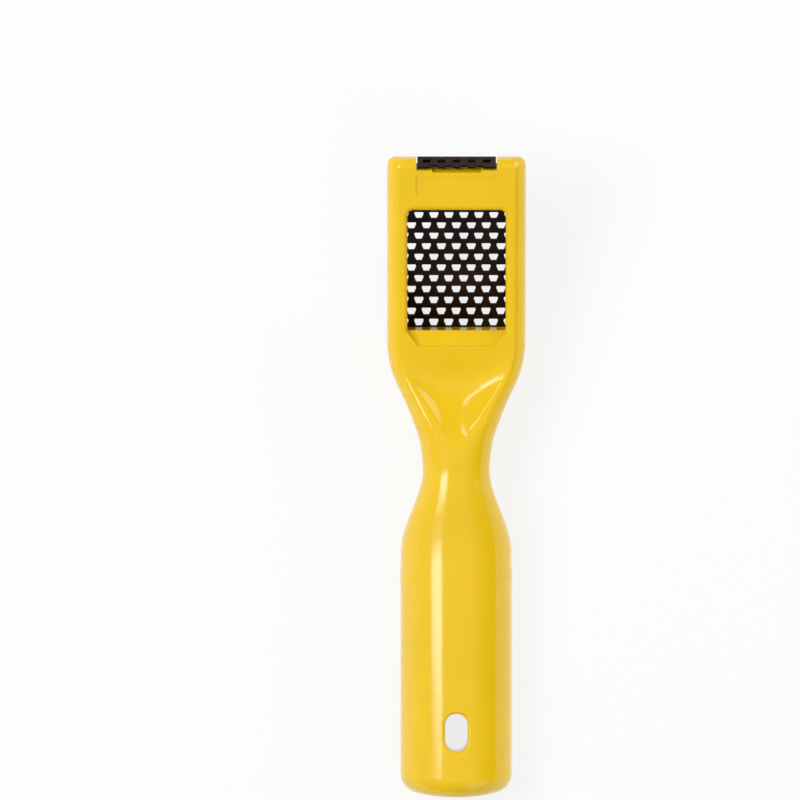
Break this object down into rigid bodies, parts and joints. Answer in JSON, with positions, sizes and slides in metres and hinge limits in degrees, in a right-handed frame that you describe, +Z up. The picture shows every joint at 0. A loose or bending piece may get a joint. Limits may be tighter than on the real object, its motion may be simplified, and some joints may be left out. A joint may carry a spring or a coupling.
{
  "type": "rasp plane",
  "caption": "One-hand pull-stroke rasp plane: a moulded handle and open wedge-shaped head, with a toothed, perforated steel blade snapped under the head.",
  "frame": {"origin": "on the resting surface, under the middle of the plane's length and width", "axes": "+Y towards the nose of the head, +X across the plane, +Z up, away from the work"},
  "size_m": [0.0398, 0.184, 0.0353],
  "materials": {
    "yellow_plastic": "glossy moulded plastic",
    "blade_steel": "dark heat-treated steel with bright tooth tips"
  },
  "bodies": {
    "body": {"body_moulding": "yellow_plastic"},
    "blade": {"rasp_blade": "blade_steel"}
  },
  "joints": [
    {"name": "blade_swing", "type": "hinge", "parent": "body", "child": "blade", "pos_m": [0, 0.04004, 0.0041], "axis": [-1, 0, 0], "range_deg": [0, 20]}
  ]
}
